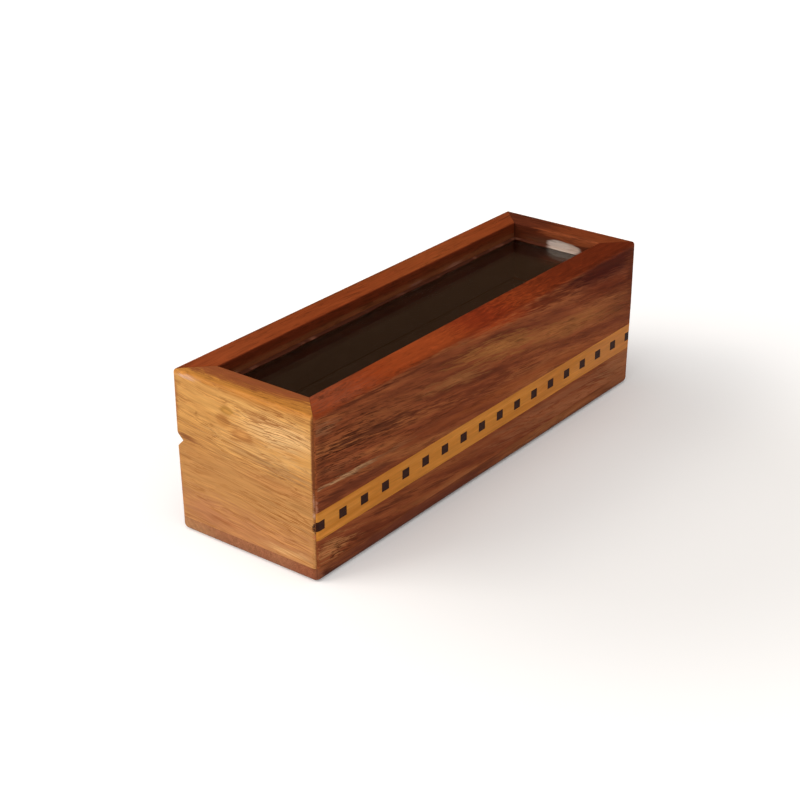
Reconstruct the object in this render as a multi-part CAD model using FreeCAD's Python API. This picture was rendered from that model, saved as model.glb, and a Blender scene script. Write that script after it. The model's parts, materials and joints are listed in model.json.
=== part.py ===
import FreeCAD, Part

import os

# A long, narrow keepsake box of solid wood with a hinged, glass-topped lid.
#
# Four mitred boards stand on a flush bottom board. The lid is the upper part of the same
# carcass, sawn off and cleaned up, so its boards carry on from those of the base. A glass
# pane sits in a groove run round the inside of the lid. The back edges of both rims are
# chamfered at 45 degrees and meet in a V groove. Two pinned barrel hinges, hidden in bores
# in the back boards, turn about the bottom of that groove, and the two chamfers come face
# to face, and stop the lid, when it stands square to the base. A banding of light wood
# with dark squares is let into the front of the base.
#
# Millimetres, +Z up. The origin is the centre of the underside. +X is the right end, -Y the
# front with the banding, and +Y the back with the hinges.

# Carcass
LENGTH = 200.0  # over the two ends
WIDTH = 62.0  # over the front and the back
WALL = 11.0  # thickness of the eight boards
BOTTOM_BOARD = 5.4  # thickness of the bottom board
BASE_BOARD = 30.0  # height of the base boards above the bottom board
LID_BOARD = 26.1  # height of the lid boards
LID_GAP = 0.1  # joint line between the two rims when the lid is shut

# Rounded edges. The rims are left sharp, so that the joint line hardly shows.
EDGE_ROUND = 2.4  # upright corners, top and foot, so that the outer corners are balls
WINDOW_ROUND = 0.5  # upper inside edge of the lid, round the window

# Window
GLASS = 3.0  # thickness of the pane
GLASS_SINK = 6.5  # from the top of the lid down to the pane
GLASS_LAP = 3.5  # depth of the groove that holds the pane
GLASS_EDGE_PLAY = 0.3  # between the edge of the pane and the bottom of the groove
GLASS_TOP_PLAY = 0.15  # between the pane and the upper side of the groove

# Lining of card covered in suede cloth
LINER = 1.2  # thickness of the wall liners
PAD = 2.0  # thickness of the floor pad
LINER_DROP = 0.5  # from a rim back to the edge of the wall liners
LINER_PLAY = 0.1  # between the liners, and between liners and pane or pad

# Banding
BAND_LOW = 16.0  # underside of the banding above the table
BAND_HEIGHT = 10.4
BAND_DEPTH = 2.0
SQUARE_WIDTH = 4.0
SQUARE_HEIGHT = 3.6
SQUARE_COUNT = 18
SQUARE_END = 2.45  # from an end of the box to the middle of the first square

# Hinges
HINGE_INSET = 33.0  # from an end of the box to the middle of a hinge
PIVOT_DEPTH = 3.2  # from the back of the box to the hinge pin, and so the depth of the V
BARREL_RADIUS = 2.5
BARREL_LENGTH = 10.0
BARREL_PLAY = 0.05  # glue line round a barrel in its bore
KNUCKLE_RADIUS = 1.0
KNUCKLE_PLAY = 0.15  # between a knuckle and the barrel that it turns in
TONGUE = 1.6  # thickness of the lid barrel's tongue
TONGUE_PLAY = 0.1  # on each side of the tongue
PIN_RADIUS = 0.5
PIN_LENGTH = 3.2
PIN_HOLD = 0.02  # round the pin in the two cheeks that hold it
PIN_RUN = 0.05  # round the pin in the tongue that turns on it

X_AXIS = FreeCAD.Vector(1, 0, 0)
Y_AXIS = FreeCAD.Vector(0, 1, 0)
Z_AXIS = FreeCAD.Vector(0, 0, 1)
SAME = 1e-6  # two heights nearer than this are the same

HALF_LENGTH = LENGTH / 2
HALF_WIDTH = WIDTH / 2
INNER_HALF_LENGTH = HALF_LENGTH - WALL
INNER_HALF_WIDTH = HALF_WIDTH - WALL

BASE_RIM = BOTTOM_BOARD + BASE_BOARD
LID_RIM = BASE_RIM + LID_GAP
LID_TOP = LID_RIM + LID_BOARD
GLASS_UPPER = LID_TOP - GLASS_SINK
GLASS_LOWER = GLASS_UPPER - GLASS

PIVOT_Y = HALF_WIDTH - PIVOT_DEPTH
PIVOT_Z = (BASE_RIM + LID_RIM) / 2
BARREL_Y = PIVOT_Y - BARREL_RADIUS + KNUCKLE_RADIUS
HINGE_X = HALF_LENGTH - HINGE_INSET


def slab(half_x, half_y, low, high):
    """Box centred on the Z axis, between two heights."""
    corner = FreeCAD.Vector(-half_x, -half_y, low)
    return Part.makeBox(2 * half_x, 2 * half_y, high - low, corner)


def edges_along(shape, axis, height=None):
    """Straight edges parallel to an axis, all of them or those at one height."""
    found = []
    for edge in shape.Edges:
        first, last = edge.Vertexes[0].Point, edge.Vertexes[-1].Point
        along = abs((last - first).dot(axis)) > (last - first).cross(axis).Length + SAME
        if along and (height is None or abs(edge.CenterOfMass.z - height) < SAME):
            found.append(edge)
    return found


def outside(low, high, rounded_at=None):
    """Outside form of the box between two heights, its corners and one outline rounded."""
    plain = slab(HALF_LENGTH, HALF_WIDTH, low, high)
    edges = edges_along(plain, Z_AXIS)
    for axis in (X_AXIS, Y_AXIS):
        if rounded_at is not None:
            edges += edges_along(plain, axis, rounded_at)
    return plain.makeFillet(EDGE_ROUND, edges)


def back_chamfer(rim, direction):
    """Wedge that chamfers the back edge of a rim, down from it (-1) or up from it (+1).

    Its slope and the rim pass the hinge pin at the same distance, half the joint line.
    """
    start = PIVOT_Y - LID_GAP / 2 * (2**0.5 - 1)
    reach = 2 * PIVOT_DEPTH
    corners = [
        FreeCAD.Vector(-LENGTH, start, rim),
        FreeCAD.Vector(-LENGTH, start + reach, rim),
        FreeCAD.Vector(-LENGTH, start + reach, rim + direction * reach),
        FreeCAD.Vector(-LENGTH, start, rim),
    ]
    return Part.Face(Part.makePolygon(corners)).extrude(X_AXIS * 2 * LENGTH)


def mitre_wedges():
    """Four upright prisms that part a ring of boards along its mitres, by side."""
    left, right = -HALF_LENGTH, HALF_LENGTH
    front, back = -HALF_WIDTH, HALF_WIDTH
    plans = {
        "front": [(left, front), (right, front), (right - back, 0), (left + back, 0)],
        "back": [(left, back), (left + back, 0), (right - back, 0), (right, back)],
        "left": [(left, front), (left + back, 0), (left, back)],
        "right": [(right, front), (right, back), (right - back, 0)],
    }
    wedges = {}
    for side, plan in plans.items():
        corners = [FreeCAD.Vector(x, y, 0) for x, y in plan + plan[:1]]
        wedges[side] = Part.Face(Part.makePolygon(corners)).extrude(Z_AXIS * LID_TOP)
    return wedges


def hinge_bore(centre_x, rim, direction):
    """Bore for one barrel, sunk from a rim into the back board."""
    mouth = FreeCAD.Vector(centre_x, BARREL_Y, rim)
    return Part.makeCylinder(BARREL_RADIUS + BARREL_PLAY, BARREL_LENGTH, mouth, Z_AXIS * direction)


def parted(ring, wedges, prefix):
    """The four boards of a ring, named by side."""
    return {f"{prefix}_{side}_board": ring.common(wedge) for side, wedge in wedges.items()}


def base_boards(wedges):
    """Mitred boards of the base, without the groove for the banding."""
    ring = outside(BOTTOM_BOARD, BASE_RIM)
    ring = ring.cut(slab(INNER_HALF_LENGTH, INNER_HALF_WIDTH, BOTTOM_BOARD, BASE_RIM))
    ring = ring.cut(back_chamfer(BASE_RIM, -1))
    for centre_x in (-HINGE_X, HINGE_X):
        ring = ring.cut(hinge_bore(centre_x, BASE_RIM, -1))
    return parted(ring, wedges, "base")


def lid_boards(wedges):
    """Mitred boards of the lid, grooved for the pane."""
    ring = outside(LID_RIM, LID_TOP, rounded_at=LID_TOP)
    opening = slab(INNER_HALF_LENGTH, INNER_HALF_WIDTH, LID_RIM, LID_TOP)
    ring = ring.cut(opening)
    window_edges = [
        edge
        for axis in (X_AXIS, Y_AXIS)
        for edge in edges_along(ring, axis, LID_TOP)
        if opening.distToShape(Part.Vertex(edge.CenterOfMass))[0] < SAME
    ]
    ring = ring.makeFillet(WINDOW_ROUND, window_edges)
    ring = ring.cut(
        slab(
            INNER_HALF_LENGTH + GLASS_LAP,
            INNER_HALF_WIDTH + GLASS_LAP,
            GLASS_LOWER,
            GLASS_UPPER + GLASS_TOP_PLAY,
        )
    )
    ring = ring.cut(back_chamfer(LID_RIM, 1))
    for centre_x in (-HINGE_X, HINGE_X):
        ring = ring.cut(hinge_bore(centre_x, LID_RIM, 1))
    return parted(ring, wedges, "lid")


def bottom_board():
    """Board under the four base boards, flush with them and rounded at its foot."""
    return outside(0, BOTTOM_BOARD, rounded_at=0)


def glass_pane():
    """Pane that rests on the lower side of the groove in the lid."""
    lap = GLASS_LAP - GLASS_EDGE_PLAY
    return slab(INNER_HALF_LENGTH + lap, INNER_HALF_WIDTH + lap, GLASS_LOWER, GLASS_UPPER)


def band_boxes():
    """The groove of the banding and its row of squares, as plain boxes through the front."""
    front = -HALF_WIDTH
    groove = Part.makeBox(
        LENGTH, BAND_DEPTH, BAND_HEIGHT, FreeCAD.Vector(-HALF_LENGTH, front, BAND_LOW)
    )
    low = BAND_LOW + (BAND_HEIGHT - SQUARE_HEIGHT) / 2
    first = -HALF_LENGTH + SQUARE_END - SQUARE_WIDTH / 2
    pitch = (LENGTH - 2 * SQUARE_END) / (SQUARE_COUNT - 1)
    squares = [
        Part.makeBox(
            SQUARE_WIDTH,
            BAND_DEPTH,
            SQUARE_HEIGHT,
            FreeCAD.Vector(first + number * pitch, front, low),
        )
        for number in range(SQUARE_COUNT)
    ]
    return groove, squares


def banding(board):
    """The front board with its groove, the light strip and the dark squares, all flush."""
    groove, squares = band_boxes()
    filling = board.common(groove)
    inlaid = [filling.common(square) for square in squares]
    strip = filling.cut(Part.makeCompound(squares))
    return {
        "base_front_board": board.cut(groove),
        "banding_strip": strip,
        "banding_squares": Part.makeCompound(inlaid),
    }


def wall_liners(prefix, low, high):
    """Four liners against the inside of the boards, the short ones between the long ones."""
    long_half = INNER_HALF_LENGTH - LINER_PLAY
    short_half = INNER_HALF_WIDTH - LINER - LINER_PLAY
    height = high - low
    places = {
        "front": (2 * long_half, LINER, -long_half, -INNER_HALF_WIDTH),
        "back": (2 * long_half, LINER, -long_half, INNER_HALF_WIDTH - LINER),
        "left": (LINER, 2 * short_half, -INNER_HALF_LENGTH, -short_half),
        "right": (LINER, 2 * short_half, INNER_HALF_LENGTH - LINER, -short_half),
    }
    return {
        f"{prefix}_{side}_liner": Part.makeBox(dx, dy, height, FreeCAD.Vector(x, y, low))
        for side, (dx, dy, x, y) in places.items()
    }


def floor_pad():
    """Pad on the bottom board, inside the wall liners."""
    inset = LINER + LINER_PLAY
    return slab(
        INNER_HALF_LENGTH - inset,
        INNER_HALF_WIDTH - inset,
        BOTTOM_BOARD,
        BOTTOM_BOARD + PAD,
    )


def crosswise(centre_x, radius, length):
    """Cylinder of a given length round the hinge pin's axis, centred on one hinge."""
    start = FreeCAD.Vector(centre_x - length / 2, PIVOT_Y, PIVOT_Z)
    return Part.makeCylinder(radius, length, start, X_AXIS)


def barrel_blank(centre_x, low, high):
    """Round bar on the axis of one hinge's two barrels."""
    foot = FreeCAD.Vector(centre_x, BARREL_Y, low)
    return Part.makeCylinder(BARREL_RADIUS, high - low, foot, Z_AXIS)


def hinge_parts(name, centre_x):
    """Both barrels and the pin of one hinge.

    The base barrel ends in two cheeks and the lid barrel in a tongue between them, all
    rounded about the pin. Each barrel is hollowed where the other one's knuckle turns.
    """
    whole = 2 * BARREL_RADIUS
    slot = TONGUE + 2 * TONGUE_PLAY
    knuckle_blank = barrel_blank(centre_x, PIVOT_Z - KNUCKLE_RADIUS, PIVOT_Z + KNUCKLE_RADIUS)
    knuckle = knuckle_blank.common(crosswise(centre_x, KNUCKLE_RADIUS, whole))
    swept = KNUCKLE_RADIUS + KNUCKLE_PLAY

    base = barrel_blank(centre_x, BASE_RIM - BARREL_LENGTH, BASE_RIM)
    base = base.cut(back_chamfer(BASE_RIM, -1)).fuse(knuckle)
    base = base.cut(crosswise(centre_x, swept, slot))
    base = base.cut(crosswise(centre_x, PIN_RADIUS + PIN_HOLD, whole))

    lid = barrel_blank(centre_x, LID_RIM, LID_RIM + BARREL_LENGTH)
    lid = lid.cut(back_chamfer(LID_RIM, 1)).cut(crosswise(centre_x, swept, whole))
    lid_bar = barrel_blank(centre_x, LID_RIM, LID_RIM + BARREL_LENGTH)
    lid_bar = lid_bar.cut(back_chamfer(LID_RIM, 1)).fuse(knuckle)
    tongue = lid_bar.common(crosswise(centre_x, 2 * swept, TONGUE))
    lid = lid.fuse(tongue).cut(crosswise(centre_x, PIN_RADIUS + PIN_RUN, whole))

    return {
        f"{name}_base_barrel": base.removeSplitter(),
        f"{name}_lid_barrel": lid.removeSplitter(),
        f"{name}_pin": crosswise(centre_x, PIN_RADIUS, PIN_LENGTH),
    }


def build():
    """Every piece of the box, by node name."""
    wedges = mitre_wedges()
    nodes = {"bottom_board": bottom_board()}
    nodes.update(base_boards(wedges))
    nodes.update(banding(nodes["base_front_board"]))
    nodes["floor_pad"] = floor_pad()
    nodes.update(wall_liners("base", BOTTOM_BOARD, BASE_RIM - LINER_DROP))
    nodes.update(lid_boards(wedges))
    nodes["glass_pane"] = glass_pane()
    nodes.update(wall_liners("lid", LID_RIM + LINER_DROP, GLASS_LOWER - LINER_PLAY))
    nodes.update(hinge_parts("left_hinge", -HINGE_X))
    nodes.update(hinge_parts("right_hinge", HINGE_X))
    return nodes


def export(nodes):
    """One STEP file for each node."""
    os.makedirs("parts", exist_ok=True)
    for name, shape in nodes.items():
        shape.exportStep(f"parts/{name}.step")
        print(f"{name}: {len(shape.Solids)} solid(s), {shape.Volume:.1f} mm3, {shape.isValid()}")


export(build())
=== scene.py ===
"""Looks of a long wooden keepsake box with a hinged, glass-topped lid.

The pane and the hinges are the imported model's own nodes and get their finishes here. The boards,
the inlaid squares and the suede lining are built here in place of their plain solids, and the
bead of glue round the pane is added. Sizes are in millimetres where a name ends in _mm, and in
metres elsewhere.
"""

from __future__ import annotations

import json
import logging
import math
from collections.abc import Callable
from dataclasses import dataclass, field
from enum import Enum
from typing import ClassVar

import bmesh
import bpy
from mathutils import Matrix, Vector

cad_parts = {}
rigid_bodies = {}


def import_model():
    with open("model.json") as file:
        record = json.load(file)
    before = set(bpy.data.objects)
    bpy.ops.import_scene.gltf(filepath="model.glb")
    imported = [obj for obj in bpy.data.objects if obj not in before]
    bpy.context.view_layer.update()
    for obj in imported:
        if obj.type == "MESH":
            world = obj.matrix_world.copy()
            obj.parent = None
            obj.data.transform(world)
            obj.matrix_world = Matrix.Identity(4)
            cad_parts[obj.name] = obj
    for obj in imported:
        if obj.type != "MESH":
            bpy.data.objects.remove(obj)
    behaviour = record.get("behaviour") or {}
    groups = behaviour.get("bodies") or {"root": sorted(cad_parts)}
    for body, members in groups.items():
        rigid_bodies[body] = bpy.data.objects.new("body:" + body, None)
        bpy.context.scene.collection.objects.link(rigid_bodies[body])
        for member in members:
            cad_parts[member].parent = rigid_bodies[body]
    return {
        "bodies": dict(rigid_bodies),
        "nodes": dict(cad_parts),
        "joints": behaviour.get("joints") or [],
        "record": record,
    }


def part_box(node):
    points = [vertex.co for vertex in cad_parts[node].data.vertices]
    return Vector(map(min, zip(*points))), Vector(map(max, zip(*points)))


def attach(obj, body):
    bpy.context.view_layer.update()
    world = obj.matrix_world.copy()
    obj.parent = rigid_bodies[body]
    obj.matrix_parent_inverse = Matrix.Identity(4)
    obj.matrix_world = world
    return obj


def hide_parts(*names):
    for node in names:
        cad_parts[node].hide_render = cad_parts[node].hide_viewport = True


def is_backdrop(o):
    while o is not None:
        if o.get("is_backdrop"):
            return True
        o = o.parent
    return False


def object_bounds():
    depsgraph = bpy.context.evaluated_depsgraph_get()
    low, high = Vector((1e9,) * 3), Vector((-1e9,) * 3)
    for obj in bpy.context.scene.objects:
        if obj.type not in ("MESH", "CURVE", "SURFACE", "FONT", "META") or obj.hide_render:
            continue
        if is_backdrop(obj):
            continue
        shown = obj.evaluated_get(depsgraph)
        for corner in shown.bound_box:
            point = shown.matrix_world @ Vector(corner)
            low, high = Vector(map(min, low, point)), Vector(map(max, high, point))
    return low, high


LOG = logging.getLogger("box")
MM = 0.001

Tree = bpy.types.NodeTree
Socket = bpy.types.NodeSocket
Sockets = bpy.types.bpy_prop_collection
Pair = tuple[float, float]


def linear(hex_colour: str) -> tuple[float, float, float, float]:
    """Turns an sRGB hex colour into the linear values that a shader takes.

    Args:
        hex_colour: Six hex digits after a hash sign.

    Returns:
        Red, green, blue and an alpha of 1.
    """
    parts = [int(hex_colour[i : i + 2], 16) / 255 for i in (1, 3, 5)]
    red, green, blue = (p / 12.92 if p <= 0.04045 else ((p + 0.055) / 1.055) ** 2.4 for p in parts)
    return red, green, blue, 1.0


def add(
    tree: Tree, kind: str, inputs: dict[str | int, object] | None = None, **settings: object
) -> bpy.types.Node:
    """Adds one node, sets it and links it.

    Args:
        tree: The node tree that gets the node.
        kind: The node's type.
        inputs: Values or sockets by input name or number.
        **settings: The node's own properties.

    Returns:
        The new node.
    """
    node = tree.nodes.new(kind)
    for name, value in settings.items():
        setattr(node, name, value)
    for key, value in (inputs or {}).items():
        if isinstance(value, bpy.types.NodeSocket):
            tree.links.new(value, node.inputs[key])
        else:
            node.inputs[key].default_value = value
    return node


def calculated(tree: Tree, operation: str, *values: object, **settings: object) -> Socket:
    """Adds one step of arithmetic on up to three numbers."""
    return add(tree, "ShaderNodeMath", dict(enumerate(values)), operation=operation, **settings).outputs[0]


def on_vectors(tree: Tree, operation: str, *values: object, **named: object) -> Socket:
    """Adds one step of vector arithmetic, and gives a number where the step makes one."""
    node = add(tree, "ShaderNodeVectorMath", dict(enumerate(values)) | named, operation=operation)
    return node.outputs["Value" if operation in ("LENGTH", "DISTANCE", "DOT_PRODUCT") else "Vector"]


def mixed(tree: Tree, share: Socket, under: object, over: object) -> Socket:
    """Lays a colour over another one, fully where the share is 1."""
    return add(tree, "ShaderNodeMix", {0: share, 6: under, 7: over}, data_type="RGBA").outputs[2]


def ranged(
    tree: Tree,
    value: Socket,
    start: float,
    end: float,
    low: float = 0.0,
    high: float = 1.0,
    smooth: bool = True,
) -> Socket:
    """Carries a value over from one range to another.

    Args:
        tree: The tree that gets the node.
        value: The value.
        start: Where the result is the low one.
        end: Where it is the high one.
        low: Result at the start and before it.
        high: Result at the end and past it.
        smooth: Whether it eases in and out.

    Returns:
        The result.
    """
    inputs = {"Value": value, "From Min": start, "From Max": end, "To Min": low, "To Max": high}
    kind = "SMOOTHSTEP" if smooth else "LINEAR"
    return add(tree, "ShaderNodeMapRange", inputs, interpolation_type=kind).outputs[0]


def noise(tree: Tree, place: Socket, size: float, detail: float, **more: float) -> Sockets:
    """Adds cloudy noise.

    Args:
        tree: The tree that gets the node.
        place: Place in the noise.
        size: Size of a cloud, in the unit of the place.
        detail: Octaves of the noise.
        **more: Other inputs by name.

    Returns:
        The outputs, with Fac about 0.5.
    """
    inputs = {"Vector": place, "Scale": 1 / size, "Detail": detail} | more
    return add(tree, "ShaderNodeTexNoise", inputs).outputs


def object_place(tree: Tree) -> Socket:
    """Gives the place in the box, in metres."""
    return add(tree, "ShaderNodeTexCoord").outputs["Object"]


def off_middle(tree: Tree, place: Socket, middle: object, size: object, tilt: float = 0.0) -> Socket:
    """Measures how far a place is from the middle of a mark, as a share of the mark's size.

    Args:
        tree: The tree that gets the nodes.
        place: The place.
        middle: Middle of the mark.
        size: Half sizes of the mark.
        tilt: Its slope in degrees.

    Returns:
        A distance of 1 at the edge of the mark.
    """
    inputs = {
        "Vector": place,
        "Location": middle,
        "Rotation": (0.0, -math.radians(tilt), 0.0),
        "Scale": size,
    }
    framed = add(tree, "ShaderNodeMapping", inputs, vector_type="TEXTURE")
    return on_vectors(tree, "LENGTH", framed.outputs[0])


def relief(tree: Tree, height: Socket, strength: float, depth_mm: float) -> Socket:
    """Gives the normal of a surface with a fine relief."""
    inputs = {"Strength": strength, "Distance": depth_mm * MM, "Height": height}
    return add(tree, "ShaderNodeBump", inputs).outputs[0]


def shade(tree: Tree, inputs: dict[str, object]) -> None:
    """Ends a material in its shader."""
    shader = add(tree, "ShaderNodeBsdfPrincipled", inputs)
    add(tree, "ShaderNodeOutputMaterial", {"Surface": shader.outputs[0]})


def new_material(name: str) -> tuple[bpy.types.Material, Tree]:
    """Makes an empty node material.

    Args:
        name: The finish's name.

    Returns:
        The material and its cleared node tree.
    """
    material = bpy.data.materials.new(name)
    material.use_nodes = True
    material.node_tree.nodes.clear()
    return material, material.node_tree


def dress(piece: bpy.types.Object, material: bpy.types.Material) -> None:
    """Puts one material on all of a piece."""
    piece.data.materials.clear()
    piece.data.materials.append(material)


def new_piece(name: str, mesh: bpy.types.Mesh) -> bpy.types.Object:
    """Links a mesh into the scene as a piece at the origin."""
    piece = bpy.data.objects.new(name, mesh)
    bpy.context.scene.collection.objects.link(piece)
    return piece


def grown(
    name: str,
    inputs: dict[str, tuple[str, object]],
    lay: Callable[[Tree, Sockets], Socket],
) -> bpy.types.Object:
    """Builds a Geometry Nodes tree, runs it once and keeps what it makes as a plain mesh.

    Args:
        name: Name of the piece.
        inputs: Kind and value of each input by its name. One is the Finish.
        lay: Adds the nodes that lay the geometry, from the tree and the outputs of its input node.

    Returns:
        The piece.
    """
    tree = bpy.data.node_groups.new(name, "GeometryNodeTree")
    keys = {
        label: tree.interface.new_socket(label, in_out="INPUT", socket_type=f"NodeSocket{kind}").identifier
        for label, (kind, _) in inputs.items()
    }
    tree.interface.new_socket("Geometry", in_out="OUTPUT", socket_type="NodeSocketGeometry")
    given = add(tree, "NodeGroupInput").outputs
    real = add(tree, "GeometryNodeRealizeInstances", {0: lay(tree, given)}).outputs[0]
    finished = add(tree, "GeometryNodeSetMaterial", {"Geometry": real, "Material": given["Finish"]})
    add(tree, "NodeGroupOutput", {0: finished.outputs[0]})
    carrier = new_piece(f"{name}_carrier", bpy.data.meshes.new(name))
    modifier = carrier.modifiers.new(name, "NODES")
    modifier.node_group = tree
    for label, (_, value) in inputs.items():
        modifier[keys[label]] = value
    graph = bpy.context.evaluated_depsgraph_get()
    mesh = bpy.data.meshes.new_from_object(carrier.evaluated_get(graph))
    bpy.data.objects.remove(carrier)
    return new_piece(name, mesh)


@dataclass(frozen=True)
class BoxSizes:
    """Outer half sizes of the box and the thickness of its boards."""

    half_length_mm: float
    half_width_mm: float
    wall_mm: float


class Grain(Enum):
    """Way that the fibres of a board run, as the turn about Z that brings them onto X."""

    ALONG_LENGTH = 0.0
    ALONG_WIDTH = -math.pi / 2


@dataclass(frozen=True)
class Streak:
    """Soft-edged mark in the wood's colour, long in the way of the grain; some are painted highlights or
    painted shade.

    Attributes:
        along_mm: Middle of the mark, along the grain.
        height_mm: Middle of the mark above the table.
        length_mm: Half its length.
        width_mm: Half its width.
        colour: sRGB hex colour.
        strength: How far it covers the wood, from 0 to 1.
        tilt: Slope against the grain in degrees, positive where it rises along the grain.
        soft: Share of the mark that fades out.
        frayed: How far the fibres break it up, from 0 to 1.
        side_mm: Middle of the mark through the board.
        deep_mm: Half its extent through the board.
    """

    along_mm: float
    height_mm: float
    length_mm: float
    width_mm: float
    colour: str
    strength: float = 1.0
    tilt: float = 0.0
    soft: float = 0.9
    frayed: float = 0.4
    side_mm: float = 0.0
    deep_mm: float = 1000.0


@dataclass(frozen=True)
class WoodFinish:
    """Oiled and lacquered hardwood, cut from one board and sanded fine.

    It gives the eye long tonal bands, fine fibre, open pores filled with dark wax, and a
    thin satin film of lacquer; along some rounded edges the light is painted highlight in the streaks.

    Attributes:
        name: Name of the material.
        grain: Way of the fibres.
        tones: Colours of the bands, from the darkest wood to the lightest, as sRGB hex.
        pore: Colour of the pores.
        seed_mm: Place in the log that the board is cut from.
        slope: Tilt of the fibres in degrees.
        band_mm: Width and length of a tonal band.
        fibre_mm: Width and length of the fine lines.
        fibre_depth: How far a fine line is lighter or darker than the wood.
        pore_mm: Width and length of a pore. A real one is 0.2 mm wide, which is too fine to show.
        pore_cover: How strongly pores show, from 0 to 1.
        line_mm: Spacing and length of the long dark lines.
        line_cover: How strongly they show, from 0 to 1.
        wave_mm: How far the fibres wander.
        roughness: Of the wood between the pores.
        gloss: Specular level of the lacquer.
        reveal: Colour of the faces inside the window, darker than outside: painted shade of the recess.
        reveal_cover: How far that colour covers the wood, from 0 to 1.
        streaks: Marks at known places.
        inner_marks: Marks on the faces inside the window.
        coarse: Places where the pores are wide open.
    """

    name: str
    grain: Grain
    tones: tuple[str, ...]
    pore: str
    seed_mm: tuple[float, float, float] = (0.0, 0.0, 0.0)
    slope: float = 0.0
    band_mm: Pair = (5.0, 60.0)
    fibre_mm: Pair = (0.5, 9.0)
    fibre_depth: float = 0.22
    pore_mm: Pair = (0.32, 3.6)
    pore_cover: float = 0.7
    line_mm: Pair = (1.5, 24.0)
    line_cover: float = 0.0
    wave_mm: float = 2.0
    roughness: float = 0.42
    gloss: float = 0.05
    reveal: str = "#6f2b15"
    reveal_cover: float = 0.9
    streaks: tuple[Streak, ...] = ()
    inner_marks: tuple[Streak, ...] = ()
    coarse: tuple[Streak, ...] = ()

    def material(self, sizes: BoxSizes) -> bpy.types.Material:
        """Builds the finish.

        Args:
            sizes: Sizes of the box, which place its glue lines and the inside of its window.

        Returns:
            The material.
        """
        material, tree = new_material(self.name)
        WoodNodes(self, sizes, tree).build()
        return material


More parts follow.
